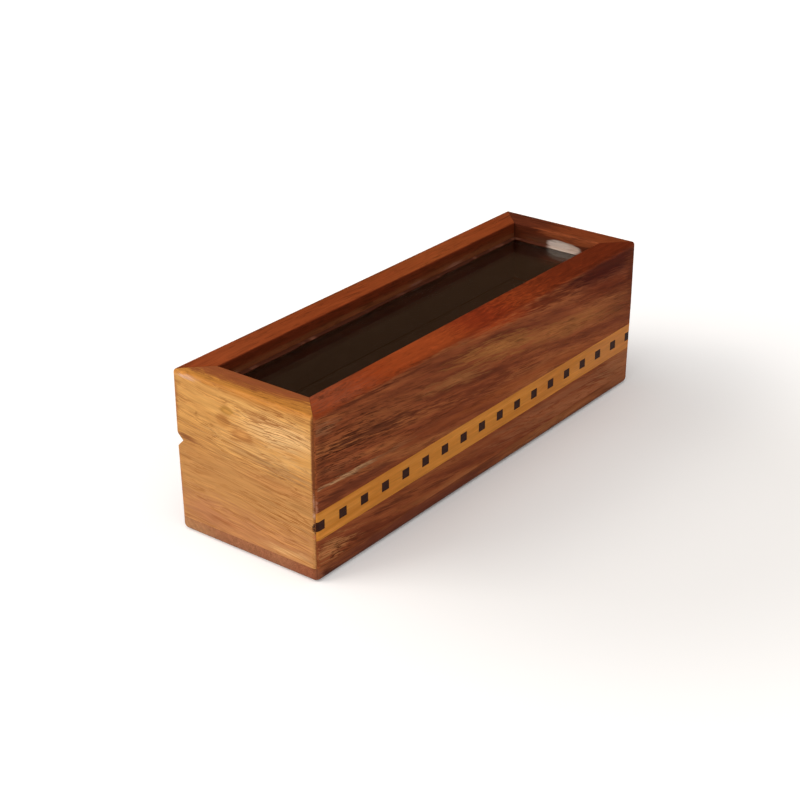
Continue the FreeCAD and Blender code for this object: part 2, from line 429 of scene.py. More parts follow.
@dataclass
class WoodNodes:
    """Nodes of one wood finish, which work in millimetres.

    Attributes:
        finish: The finish that they make.
        sizes: Sizes of the box.
        tree: The material's tree.
        place: Place in the box.
        turned: Place in the box, turned so that the grain runs along X.
        log_place: Place in the log, with the fibres straight along X.
        fibre: Value of the fine fibre, about 0.5.
    """

    # Width and length of the slow waves, of the coarse places and of the broader lines.
    WAVE_MM: ClassVar[Pair] = (17.0, 46.0)
    CROWD_MM: ClassVar[Pair] = (3.2, 26.0)
    RIPPLE_MM: ClassVar[Pair] = (1.5, 14.0)
    # Values of the noise that give the darkest tone and the lightest.
    TONE_ENDS: ClassVar[Pair] = (0.30, 0.70)
    # Openness of close wood and of coarse wood.
    OPENNESS: ClassVar[Pair] = (0.1, 0.55)
    # How fast the lines deepen with openness, and the darkest and lightest that they get.
    LINE_GAIN: ClassVar[float] = 2.4
    LINE_LIMITS: ClassVar[Pair] = (0.4, 1.7)
    # How far the fibres fray a mark whose frayed is 1.
    FRAY: ClassVar[float] = 3.0
    # Size of each kind of pore as a share of pore_mm, and the value of the noise where it starts.
    PORE_KINDS: ClassVar[tuple[Pair, ...]] = ((0.8, 0.575), (1.15, 0.595))
    PORE_EDGE: ClassVar[float] = 0.06
    # Off the middle of the noise, where a long dark line starts and where it is full.
    LONG_LINE: ClassVar[Pair] = (0.032, 0.006)
    # Off a mitre, where its glue line starts and where it is full, and how dark it gets.
    GLUE_LINE_MM: ClassVar[Pair] = (0.22, 0.05)
    GLUE_COVER: ClassVar[float] = 0.55
    # Past the inside of the walls, where the reveal ends and where it is full.
    REVEAL_MM: ClassVar[Pair] = (0.45, 0.1)

    finish: WoodFinish
    sizes: BoxSizes
    tree: Tree
    place: Socket = field(init=False)
    turned: Socket = field(init=False)
    log_place: Socket = field(init=False)
    fibre: Socket = field(init=False)

    def build(self) -> None:
        """Lays bands, marks, fibre, pores and lacquer over each other."""
        finish, tree = self.finish, self.tree
        self.place = on_vectors(tree, "SCALE", object_place(tree), Scale=1 / MM)
        turn = {"Vector": self.place, "Angle": finish.grain.value}
        self.turned = add(tree, "ShaderNodeVectorRotate", turn, rotation_type="Z_AXIS").outputs[0]
        self.log_place = self._wandering()
        self.fibre = self._drawn_out(finish.fibre_mm, detail=3.0)
        colour = self._marked(self._bands(), finish.streaks)
        # Painted shade on the faces inside the window.
        colour = mixed(tree, self._inside(), colour, linear(finish.reveal))
        colour = self._marked(colour, finish.inner_marks)
        openness = self._openness()
        colour = self._lined(colour, openness)
        pores = self._pores(openness)
        for dark in (pores, self._glue_line()):
            colour = mixed(tree, dark, colour, linear(finish.pore))
        self._lacquer(colour, pores)

    def _stretched(self, place: Socket, size_mm: Pair) -> Socket:
        """Divides a place by a width and a length along the fibres."""
        width, length = size_mm
        scale = (1 / length, 1 / width, 1 / width)
        return add(self.tree, "ShaderNodeMapping", {"Vector": place, "Scale": scale}).outputs[0]

    def _wandering(self) -> Socket:
        """Gives the fibres their slope and their slow waves."""
        tree = self.tree
        inputs = {
            "Vector": self.turned,
            "Location": self.finish.seed_mm,
            "Rotation": (0.0, math.radians(self.finish.slope), 0.0),
        }
        sloped = add(tree, "ShaderNodeMapping", inputs).outputs[0]
        slow = self._stretched(sloped, self.WAVE_MM)
        wave = noise(tree, slow, 1.0, 3.5, Roughness=0.42)["Color"]
        centred = on_vectors(tree, "SUBTRACT", wave, (0.5, 0.5, 0.5))
        shift = on_vectors(tree, "SCALE", centred, Scale=2 * self.finish.wave_mm)
        return on_vectors(tree, "ADD", sloped, shift)

    def _drawn_out(self, size_mm: Pair, detail: float) -> Socket:
        """Draws noise out along the fibres.

        Args:
            size_mm: Width and length of a grain of the noise.
            detail: Octaves of the noise.

        Returns:
            A value about 0.5.
        """
        place = self._stretched(self.log_place, size_mm)
        return noise(self.tree, place, 1.0, detail, Roughness=0.55)["Fac"]

    def _bands(self) -> Socket:
        """Gives the tonal bands of the board."""
        figure = self._drawn_out(self.finish.band_mm, detail=4.0)
        ramp = add(self.tree, "ShaderNodeValToRGB", {"Fac": figure})
        ramp.color_ramp.interpolation = "B_SPLINE"
        first, last = self.TONE_ENDS
        tones = self.finish.tones
        stops = ramp.color_ramp.elements
        while len(stops) < len(tones):
            stops.new(0.5)
        for number, tone in enumerate(tones):
            stops[number].position = first + (last - first) * number / (len(tones) - 1)
            stops[number].color = linear(tone)
        return ramp.outputs["Color"]

    def _marked(self, colour: Socket, marks: tuple[Streak, ...]) -> Socket:
        """Lays marks over a colour, one after the other."""
        for mark in marks:
            colour = mixed(self.tree, self._cover(mark), colour, linear(mark.colour))
        return colour

    def _cover(self, mark: Streak) -> Socket:
        """Works out how far a mark covers the wood, from 0 to its strength."""
        middle = (mark.along_mm, mark.side_mm, mark.height_mm)
        size = (mark.length_mm, mark.deep_mm, mark.width_mm)
        away = off_middle(self.tree, self.turned, middle, size, mark.tilt)
        fray = calculated(self.tree, "ADD", self.fibre, -0.5)
        ragged = calculated(self.tree, "MULTIPLY_ADD", fray, self.FRAY * mark.frayed, away)
        return ranged(self.tree, ragged, 1.0, 1.0 - mark.soft, high=mark.strength)

    def _openness(self) -> Socket:
        """Works out how coarse the wood is.

        Returns:
            From 0 where the wood is close, past 1 where its pores are wide open.
        """
        crowd = self._drawn_out(self.CROWD_MM, detail=2.0)
        openness = ranged(self.tree, crowd, 0.35, 0.65, *self.OPENNESS)
        for patch in self.finish.coarse:
            openness = calculated(self.tree, "ADD", openness, self._cover(patch))
        return openness

    def _lined(self, colour: Socket, openness: Socket) -> Socket:
        """Lays the fine lines over a colour, strongest where the wood is coarse."""
        tree = self.tree
        ripple = self._drawn_out(self.RIPPLE_MM, detail=2.0)
        least = self.LINE_GAIN * self.finish.fibre_depth
        depth = calculated(tree, "MULTIPLY_ADD", openness, least, least)
        tone = 1.0
        for value in (self.fibre, ripple):
            centred = calculated(tree, "SUBTRACT", value, 0.5)
            tone = calculated(tree, "MULTIPLY_ADD", centred, depth, tone)
        darkest, lightest = self.LINE_LIMITS
        limited = add(tree, "ShaderNodeClamp", {"Value": tone, "Min": darkest, "Max": lightest})
        return on_vectors(tree, "SCALE", colour, Scale=limited.outputs[0])

    def _pores(self, openness: Socket) -> Socket:
        """Scatters open pores, as dark dashes of two sizes, and the long dark lines.

        Args:
            openness: How coarse the wood is.

        Returns:
            How much of a pore is at the place, from 0 to 1.
        """
        tree = self.tree
        width, length = self.finish.pore_mm
        dashes = None
        for size, start in self.PORE_KINDS:
            shape = self._drawn_out((2 * width * size, 2 * length * size), detail=1.0)
            dash = ranged(tree, shape, start, start + self.PORE_EDGE)
            dashes = dash if dashes is None else calculated(tree, "MAXIMUM", dash, dashes)
        if self.finish.line_cover:
            off_line = self._drawn_out(self.finish.line_mm, detail=1.0)
            off_line = calculated(tree, "ABSOLUTE", calculated(tree, "SUBTRACT", off_line, 0.5))
            line = ranged(tree, off_line, *self.LONG_LINE, high=self.finish.line_cover)
            dashes = calculated(tree, "MAXIMUM", line, dashes)
        limited = calculated(tree, "MULTIPLY", openness, self.finish.pore_cover, use_clamp=True)
        return calculated(tree, "MULTIPLY", dashes, limited)

    def _inside(self) -> Socket:
        """Finds the faces that look into the box, and how far the reveal, their painted shade, covers
        them.
        """
        tree, sizes = self.tree, self.sizes
        edge = (sizes.half_length_mm - sizes.wall_mm, sizes.half_width_mm - sizes.wall_mm, 0.0)
        past = on_vectors(tree, "SUBTRACT", on_vectors(tree, "ABSOLUTE", self.place), edge)
        xyz = add(tree, "ShaderNodeSeparateXYZ", {0: past}).outputs
        further = calculated(tree, "MAXIMUM", xyz["X"], xyz["Y"])
        return ranged(tree, further, *self.REVEAL_MM, high=self.finish.reveal_cover, smooth=False)

    def _glue_line(self) -> Socket:
        """Draws the fine dark line where two boards meet in a mitre."""
        tree = self.tree
        xyz = add(tree, "ShaderNodeSeparateXYZ", {0: on_vectors(tree, "ABSOLUTE", self.place)}).outputs
        off_mitre = calculated(tree, "SUBTRACT", xyz["X"], xyz["Y"])
        mitre = self.sizes.half_length_mm - self.sizes.half_width_mm
        off_mitre = calculated(tree, "ABSOLUTE", calculated(tree, "SUBTRACT", off_mitre, mitre))
        return ranged(tree, off_mitre, *self.GLUE_LINE_MM, high=self.GLUE_COVER, smooth=False)

    def _lacquer(self, colour: Socket, pores: Socket) -> None:
        """Joins colour, relief and lacquer in the shader."""
        height = calculated(self.tree, "MULTIPLY_ADD", pores, -1.0, self.fibre)
        inputs = {
            "Base Color": colour,
            "Roughness": calculated(self.tree, "MULTIPLY_ADD", pores, 0.25, self.finish.roughness),
            "IOR": 1.5,
            "Specular IOR Level": self.finish.gloss,
            "Normal": relief(self.tree, height, 0.35, 0.10),
        }
        shade(self.tree, inputs)


@dataclass(frozen=True)
class GlassFinish:
    """Float glass, cast flat and left clear, with a faint film of dust.

    It gives the eye a dark, clean mirror of the studio, with the lining dim behind it.
    """

    name: str = "float_glass"
    tint: str = "#f1f6f2"
    dust_mm: float = 9.0

    def material(self) -> bpy.types.Material:
        """Builds the finish."""
        material, tree = new_material(self.name)
        film = noise(tree, object_place(tree), self.dust_mm * MM, 4.0)["Fac"]
        haze = ranged(tree, film, 0.35, 0.75, high=0.05, smooth=False)
        tint = linear(self.tint)
        shade(tree, {"Base Color": tint, "Roughness": haze, "IOR": 1.52, "Transmission Weight": 1.0})
        return material


@dataclass(frozen=True)
class SuedeFinish:
    """Brushed suede cloth glued over card.

    It gives the eye a near-black brown with a soft nap that lightens at a grazing angle.
    """

    name: str = "brown_suede_cloth"
    deep: str = "#20150d"
    raised: str = "#39271a"
    sheen: str = "#6b4a34"
    nap_mm: float = 0.5
    brushed_mm: float = 14.0

    def material(self) -> bpy.types.Material:
        """Builds the finish."""
        material, tree = new_material(self.name)
        place = object_place(tree)
        nap = noise(tree, place, self.nap_mm * MM, 5.0, Roughness=0.7)["Fac"]
        brushed = noise(tree, place, self.brushed_mm * MM, 2.0, Distortion=0.6)["Fac"]
        tone = ranged(tree, calculated(tree, "MULTIPLY", nap, brushed), 0.15, 0.40, smooth=False)
        inputs = {
            "Base Color": mixed(tree, tone, linear(self.deep), linear(self.raised)),
            "Roughness": 0.95,
            "Sheen Weight": 0.25,
            "Sheen Roughness": 0.5,
            "Sheen Tint": linear(self.sheen),
            "Normal": relief(tree, nap, 0.6, 0.15),
        }
        shade(tree, inputs)
        return material


@dataclass(frozen=True)
class GlueFinish:
    """Hide glue that set in the corner between the pane and the wood.

    It gives the eye a thin amber line, paler here and there, with a pale painted highlight at the right
    end.
    """

    name: str = "amber_glue"
    amber: str = "#52291b"
    pale: str = "#84503c"
    painted_highlight: str = "#b6a192"
    spot_mm: float = 9.0
    highlight_mm: tuple[float, float, float] = (89.0, -4.4, 55.3)
    highlight_size_mm: tuple[float, float, float] = (5.0, 9.0, 5.0)

    def material(self) -> bpy.types.Material:
        """Builds the finish."""
        material, tree = new_material(self.name)
        place = object_place(tree)
        spots = ranged(tree, noise(tree, place, self.spot_mm * MM, 2.0)["Fac"], 0.55, 0.7)
        colour = mixed(tree, spots, linear(self.amber), linear(self.pale))
        away = off_middle(tree, place, Vector(self.highlight_mm) * MM, Vector(self.highlight_size_mm) * MM)
        # Painted highlight where the pale patch on the far wall meets the bead.
        colour = mixed(tree, ranged(tree, away, 1.0, 0.6), colour, linear(self.painted_highlight))
        shade(tree, {"Base Color": colour, "Roughness": 0.5, "Specular IOR Level": 0.03})
        return material


@dataclass(frozen=True)
class BrassFinish:
    """Turned brass, a little dulled by handling.

    It gives the eye a warm metal with fine rings from the lathe and darker tarnished spots.
    """

    name: str = "turned_brass"
    bright: str = "#d9b469"
    tarnished: str = "#8f6a2f"
    spot_mm: float = 1.6
    ring_mm: float = 0.12

    def material(self) -> bpy.types.Material:
        """Builds the finish."""
        material, tree = new_material(self.name)
        place = object_place(tree)
        spots = noise(tree, place, self.spot_mm * MM, 4.0)["Fac"]
        tone = ranged(tree, spots, 0.45, 0.75, high=0.7, smooth=False)
        wave = {"Vector": place, "Scale": 1 / (self.ring_mm * MM * 20), "Distortion": 0.5}
        rings = add(tree, "ShaderNodeTexWave", wave, bands_direction="Z").outputs["Fac"]
        inputs = {
            "Base Color": mixed(tree, tone, linear(self.bright), linear(self.tarnished)),
            "Metallic": 1.0,
            "Roughness": ranged(tree, spots, 0.3, 0.7, 0.24, 0.42, smooth=False),
            "Normal": relief(tree, rings, 0.2, 0.01),
        }
        shade(tree, inputs)
        return material


FRONT_WOOD = WoodFinish(
    name="lacquered_dark_hardwood_front",
    grain=Grain.ALONG_LENGTH,
    tones=("#6d331e", "#8b4729", "#9b5430", "#ae693c"),
    pore="#4a2413",
    seed_mm=(40.0, 3.0, 12.0),
    slope=-7.0,
    fibre_mm=(0.55, 8.0),
    pore_mm=(0.2, 4.0),
    line_cover=0.35,
    gloss=0.012,
    streaks=(
        # Over the banding.
        Streak(-62.0, 48.0, 46.0, 12.0, "#884a2b", 0.5),
        Streak(-66.0, 44.6, 35.0, 3.8, "#5c2c1c", 0.8, tilt=-6.0, frayed=0.8),
        Streak(-87.0, 39.2, 18.0, 3.2, "#8c5032", 0.65, tilt=-3.0, frayed=0.8),
        Streak(-22.0, 46.0, 26.0, 3.4, "#a86a3d", 0.8, tilt=-6.0, frayed=0.8),
        Streak(-95.0, 55.6, 9.0, 3.2, "#a66c48", 0.85, frayed=0.8),
        Streak(-84.0, 46.6, 10.0, 2.6, "#55291b", 0.8, tilt=-4.0, frayed=0.8),
        Streak(5.0, 49.0, 34.0, 5.5, "#b8783f", 0.7, tilt=-7.0, frayed=0.9),
        Streak(52.0, 41.5, 52.0, 4.8, "#a96938", 0.7, tilt=-6.0, frayed=0.9),
        Streak(-8.0, 37.0, 55.0, 4.2, "#73351f", 0.75, tilt=-6.0, frayed=0.8),
        Streak(70.0, 33.5, 38.0, 2.0, "#783a22", 0.7, tilt=-5.0, frayed=0.8),
        Streak(20.0, 30.0, 90.0, 3.4, "#a05228", 0.5, tilt=-2.0, frayed=0.6),
        # Far half, where the wood turns dark.
        Streak(4.0, 60.0, 46.0, 4.5, "#a5390f", 0.8, tilt=-4.0, frayed=0.6),
        Streak(38.0, 57.2, 26.0, 4.2, "#64230b", 0.75, tilt=-4.0, soft=0.8, frayed=0.6),
        Streak(78.0, 57.9, 45.0, 7.0, "#480f02", 0.95, tilt=-2.0, soft=0.7, frayed=0.3),
        Streak(82.0, 48.0, 36.0, 6.0, "#6d290f", 0.8, tilt=-6.0, soft=0.8, frayed=0.3),
        Streak(97.0, 40.0, 34.0, 12.0, "#602a12", 0.5, tilt=-4.0),
        Streak(99.0, 50.0, 8.0, 13.0, "#5c230c", 0.75, soft=0.8),
        # Pale tear over the banding, and the dark streak under it.
        Streak(-81.5, 34.2, 18.0, 1.3, "#cb986c", 1.0, tilt=-1.5, soft=0.7, frayed=0.9),
        Streak(-62.0, 33.4, 24.0, 1.2, "#9a6440", 0.6, tilt=-1.0, frayed=1.0),
        Streak(-80.0, 29.4, 34.0, 3.0, "#643020", 0.7, soft=0.7),
        # Under the banding.
        Streak(-92.0, 10.6, 14.0, 4.6, "#c5824f", 0.85, frayed=1.3),
        Streak(-58.0, 12.6, 20.0, 1.7, "#5c2b19", 0.7, tilt=-3.0, frayed=0.8),
        Streak(-32.0, 9.2, 16.0, 1.4, "#5f2e1a", 0.65, tilt=-3.0, frayed=0.8),
        Streak(-26.0, 6.0, 24.0, 1.8, "#ad6c40", 0.55, tilt=-2.0, frayed=0.8),
        Streak(12.0, 9.5, 34.0, 2.2, "#7a3c22", 0.5, tilt=-6.0, frayed=0.8),
        Streak(44.0, 13.2, 62.0, 2.6, "#a36442", 0.65, tilt=-1.0, soft=0.8, frayed=0.5),
        Streak(50.0, 8.0, 66.0, 4.6, "#b4714a", 0.6, tilt=-3.0, frayed=0.8),
        Streak(96.0, 11.0, 30.0, 8.0, "#b5774e", 0.6, frayed=0.8),
        # Dark lines under the top at the near end.
        Streak(-78.0, 59.3, 26.0, 1.3, "#522414", 0.8, tilt=-1.0, frayed=0.8),
        Streak(-52.0, 58.3, 20.0, 1.0, "#5a2816", 0.6, tilt=-2.0, frayed=0.8),
        # Face of the top and its rounded edge; the orange-red along the rounding is partly painted
        # highlight.
        Streak(0.0, 63.5, 400.0, 4.0, "#943c19", 0.9, soft=0.3, frayed=0.25),
        Streak(-85.0, 63.5, 34.0, 4.2, "#8f4c33", 0.9, frayed=0.5),
        Streak(-28.0, 62.8, 44.0, 3.2, "#9b4520", 0.8, soft=0.6, frayed=0.6),
        Streak(0.0, 63.5, 27.0, 4.2, "#7d2b16", 0.85, soft=0.6),
        Streak(90.0, 63.5, 104.0, 4.4, "#662713", 0.95, soft=0.5, frayed=0.3),
        # Near upright corner: the orange-red strip down its rounding is painted light that the rounding
        # catches, and the pale dab on it is a painted highlight.
        Streak(-96.0, 46.0, 3.6, 20.0, "#572a1a", 0.3, frayed=0.3),
        Streak(-100.0, 30.0, 1.5, 70.0, "#98522e", 0.8, soft=0.5, frayed=0.3),
        Streak(-99.6, 28.0, 1.2, 5.0, "#cf9070", 0.6, frayed=0.8),
    ),
    coarse=(
        Streak(-88.0, 46.0, 28.0, 22.0, "#000000", 0.9),
        Streak(-60.0, 46.0, 46.0, 20.0, "#000000", 0.3),
        Streak(-88.0, 9.0, 18.0, 9.0, "#000000", 0.8),
    ),
)
BACK_WOOD = WoodFinish(
    name="lacquered_dark_hardwood_back",
    grain=Grain.ALONG_LENGTH,
    tones=("#602b15", "#7d421f", "#8f5127", "#a56b37"),
    pore="#3a1a0a",
    seed_mm=(-60.0, 11.0, 3.0),
    slope=-1.0,
    gloss=0.02,
    streaks=(
        # Face of the top.
        Streak(0.0, 63.5, 400.0, 4.2, "#8e3f1e", 0.9, soft=0.3, frayed=0.25),
        Streak(-82.0, 63.5, 40.0, 4.4, "#9a4926", 0.8, frayed=0.5),
        Streak(40.0, 63.5, 60.0, 4.4, "#954c24", 0.7, frayed=0.5),
        Streak(-10.0, 62.5, 90.0, 3.4, "#66340f", 0.6, soft=0.8, side_mm=31.0, deep_mm=3.2),
        Streak(96.0, 63.5, 12.0, 4.4, "#7c3e24", 0.7),
    ),
    inner_marks=(
        # Over the pane: a pale band along the wall, a painted reflection of the pane, and pale spots on
        # it.
        Streak(0.0, 56.2, 400.0, 2.2, "#8f5532", 0.6, soft=0.8, side_mm=20.0, deep_mm=2.0),
        Streak(-81.0, 56.0, 5.0, 1.3, "#a8745c", 0.6, frayed=0.8, side_mm=20.0, deep_mm=2.0),
        Streak(22.0, 55.9, 8.0, 1.4, "#9c6a56", 0.6, frayed=0.8, side_mm=20.0, deep_mm=2.0),
        Streak(48.0, 55.9, 9.0, 1.5, "#a5735f", 0.6, frayed=0.8, side_mm=20.0, deep_mm=2.0),
        # Wood under the pane, which the lining shades.
        Streak(0.0, 24.0, 400.0, 30.0, "#22130c", 0.95, soft=0.1, frayed=0.1, side_mm=20.0, deep_mm=2.0),
    ),
)
LEFT_WOOD = WoodFinish(
    name="lacquered_golden_hardwood_end",
    grain=Grain.ALONG_WIDTH,
    tones=("#b67c3c", "#c68d4b", "#d29851", "#dda75f"),
    pore="#935726",
    seed_mm=(15.0, 21.0, 5.0),
    slope=6.0,
    band_mm=(5.0, 40.0),
    fibre_mm=(0.6, 13.0),
    fibre_depth=0.15,
    pore_mm=(0.17, 13.0),
    pore_cover=0.95,
    line_mm=(1.5, 34.0),
    line_cover=1.0,
    wave_mm=3.4,
    gloss=0.1,
    reveal="#4d1f10",
    streaks=(
        # Lower half, browner than the upper: partly the wood's tone, partly painted shade where less light
        # falls.
        Streak(0.0, 14.0, 90.0, 32.0, "#ba834a", 0.85, soft=0.4, frayed=0.3),
        Streak(0.0, 9.0, 60.0, 13.0, "#b5764d", 0.65, frayed=0.6),
        Streak(20.0, 12.0, 18.0, 9.0, "#ae714b", 0.5),
        Streak(22.0, 34.0, 18.0, 8.0, "#b67c41", 0.5),
        # Streaks across the face.
        Streak(-10.0, 41.6, 34.0, 3.6, "#d6a568", 0.65, tilt=2.0, frayed=0.6),
        Streak(-18.0, 37.2, 17.0, 2.6, "#a87c4e", 0.7, tilt=2.0, frayed=0.8),
        Streak(-14.0, 31.5, 20.0, 3.6, "#b57843", 0.6, tilt=1.0, frayed=0.8),
        Streak(-17.0, 7.6, 15.0, 1.8, "#dfae72", 0.7, frayed=0.9),
        Streak(-16.0, 50.6, 27.0, 8.6, "#edc084", 0.75, frayed=0.3),
        Streak(8.0, 44.8, 8.0, 3.0, "#e0a862", 0.6, frayed=0.3),
        Streak(-9.0, 60.2, 17.0, 2.2, "#bf7c36", 0.65, frayed=0.5),
        Streak(9.0, 9.6, 11.0, 1.5, "#a5663c", 0.9, frayed=0.8),
        # Healed knot, with its rings.
        Streak(6.6, 53.0, 3.8, 1.9, "#ab7832", 0.85, soft=0.45, frayed=0.3),
        Streak(6.4, 52.7, 2.5, 1.0, "#c68d42", 0.85, soft=0.6, frayed=0.1),
        Streak(8.4, 48.8, 4.2, 3.0, "#b97d3d", 0.9, soft=0.5, frayed=0.2),
        Streak(0.2, 45.7, 6.0, 2.7, "#a86c37", 0.8, soft=0.4, frayed=0.3),
        Streak(0.2, 46.0, 4.6, 1.7, "#c98e4c", 0.85, soft=0.8, frayed=0.2),
        # Knock in the wood, and the dark line in from the V groove, which is painted shade of the groove.
        Streak(20.8, 48.0, 0.7, 1.1, "#8f5c2c", 0.6, tilt=40.0, frayed=0.3),
        Streak(25.4, 37.1, 7.2, 1.4, "#7f4724", 0.85, tilt=10.0, frayed=0.6),
        # Back upright corner.
        Streak(31.0, 51.0, 2.6, 14.0, "#98562a", 0.65, soft=0.6),
        Streak(31.0, 19.0, 2.4, 13.0, "#a0603a", 0.55, soft=0.6),
        # Face of the top, reddish towards the pane and with dark lines outside.
        Streak(0.0, 63.5, 400.0, 4.0, "#c57d31", 0.75, soft=0.3, frayed=0.3),
        Streak(0.0, 63.5, 400.0, 5.0, "#96502e", 0.85, soft=0.5, frayed=0.5, side_mm=89.4, deep_mm=4.6),
        Streak(11.0, 63.5, 48.0, 5.0, "#96502e", 0.95, soft=0.35, frayed=0.3, side_mm=89.4, deep_mm=9.4),
        Streak(-10.0, 63.5, 15.0, 5.0, "#6f441b", 0.8, frayed=0.8, side_mm=98.3, deep_mm=0.4),
        Streak(4.0, 63.5, 12.0, 5.0, "#7c4d20", 0.7, frayed=0.8, side_mm=97.2, deep_mm=0.35),
        Streak(27.0, 63.5, 9.0, 4.6, "#9d4f27", 0.8, side_mm=88.0, deep_mm=10.0),
        # Pinkish painted highlight on the rounded top edge.
        Streak(24.5, 60.2, 7.0, 1.1, "#e0b49c", 0.75, frayed=0.6),
        # Front upright corner, where the banding runs out.
        Streak(-31.0, 44.0, 1.8, 38.0, "#682f14", 0.95, soft=0.5, frayed=0.1),
        Streak(-31.0, 8.0, 1.2, 20.0, "#74381a", 0.8, soft=0.5, frayed=0.1),
        Streak(-30.6, 20.9, 1.5, 2.1, "#2c1510", 0.95, soft=0.3, frayed=0.3),
        Streak(-30.4, 25.6, 0.9, 1.8, "#cfa080", 0.8, frayed=0.6),
        Streak(-30.2, 17.4, 0.9, 1.4, "#c26f48", 0.8, frayed=0.6),
        # Thin pale painted highlight down the rounded corner.
        Streak(-30.2, 31.0, 0.5, 4.0, "#b98a70", 0.6, frayed=0.8),
    ),
    coarse=(
        Streak(-16.0, 53.0, 32.0, 12.0, "#000000", 0.5),
        Streak(4.0, 40.0, 34.0, 9.0, "#000000", 0.35),
        Streak(-20.0, 20.0, 20.0, 20.0, "#000000", 0.4),
    ),
)
RIGHT_WOOD = WoodFinish(
    name="lacquered_red_hardwood_end",
    grain=Grain.ALONG_WIDTH,
    tones=("#602b17", "#783a1f", "#8b4a29", "#9e6038"),
    pore="#32150b",
    seed_mm=(-25.0, 2.0, 31.0),
    slope=-3.0,
    band_mm=(6.0, 60.0),
    gloss=0.02,
    reveal="#4d2011",
    streaks=(
        # Face of the top.
        Streak(0.0, 63.5, 400.0, 4.2, "#803b1e", 0.9, soft=0.3, frayed=0.25),
        Streak(18.0, 63.5, 27.0, 5.2, "#5c2a1a", 0.95, soft=0.7, frayed=0.3),
    ),
    inner_marks=(
        # Painted light on the far wall over the pane: the wall lighter where light falls on it, and a pale
        # painted highlight with a soft greyish halo.
        Streak(-12.0, 62.4, 26.0, 4.6, "#8a4526", 0.95, soft=0.35, frayed=0.3, side_mm=-89.0, deep_mm=2.0),
        Streak(2.0, 56.4, 17.0, 2.9, "#58402e", 0.4, frayed=0.2, side_mm=-89.0, deep_mm=2.0),
        Streak(-6.6, 56.3, 6.6, 2.2, "#b9a293", 0.95, soft=0.35, frayed=0.1, side_mm=-89.0, deep_mm=2.0),
        Streak(-1.8, 56.6, 6.6, 2.2, "#beaca0", 0.95, soft=0.35, frayed=0.1, side_mm=-89.0, deep_mm=2.0),
    ),
)
BOTTOM_WOOD = WoodFinish(
    name="lacquered_red_hardwood_bottom",
    grain=Grain.ALONG_LENGTH,
    tones=("#6c371e", "#804526", "#92522d", "#a3643b"),
    pore="#4a2414",
    seed_mm=(90.0, 33.0, 1.0),
    pore_cover=0.3,
    gloss=0.02,
    reveal_cover=0.0,
    streaks=(
        # Front edge of the board, with painted shade along its rounded foot and at its near corner.
        Streak(-48.0, 2.0, 68.0, 5.5, "#733a27", 0.9, soft=0.6, side_mm=-31.0, deep_mm=6.0),
        Streak(-97.0, 1.2, 9.0, 3.6, "#451d12", 0.9, soft=0.7),
        Streak(92.0, 4.0, 14.0, 3.0, "#a2633f", 0.7, side_mm=-31.0, deep_mm=5.0),
        Streak(0.0, 0.0, 400.0, 2.6, "#532a1b", 0.7, soft=0.6, side_mm=-31.0, deep_mm=5.0),
        # Left edge of the board, lighter at its back.
        Streak(-100.0, 2.5, 5.0, 6.0, "#9c6748", 0.85, soft=0.3, deep_mm=40.0),
        Streak(-100.0, 2.5, 5.0, 6.0, "#ad7d54", 0.8, side_mm=28.0, deep_mm=20.0),
        Streak(-100.0, 2.5, 5.0, 6.0, "#8c4f36", 0.8, side_mm=-28.0, deep_mm=14.0),
        Streak(-100.0, 2.5, 5.0, 6.0, "#935a40", 0.6, side_mm=-8.0, deep_mm=4.0),
    ),
)
BANDING_LIGHT = WoodFinish(
    name="lacquered_light_banding",
    grain=Grain.ALONG_LENGTH,
    tones=("#bf7424", "#cf8230", "#dc923c"),
    pore="#8f5320",
    seed_mm=(0.0, 51.0, 17.0),
    band_mm=(2.5, 40.0),
    pore_mm=(0.3, 2.0),
    pore_cover=0.15,
    fibre_depth=0.13,
    wave_mm=0.6,
    reveal_cover=0.0,
    streaks=(
        # Slow changes of tone along the strip.
        Streak(-30.0, 21.0, 50.0, 12.0, "#d28634", 0.6),
        Streak(40.0, 21.0, 22.0, 12.0, "#c0732f", 0.5),
        Streak(86.0, 21.0, 44.0, 12.0, "#cb8147", 0.6),
    ),
)
BANDING_DARK = WoodFinish(
    name="lacquered_dark_banding",
    grain=Grain.ALONG_LENGTH,
    tones=("#2a130c", "#35190f", "#402014"),
    pore="#120805",
    seed_mm=(5.0, 8.0, 3.0),
    band_mm=(1.0, 5.0),
    pore_mm=(0.4, 1.2),
    pore_cover=0.5,
    reveal_cover=0.0,
)


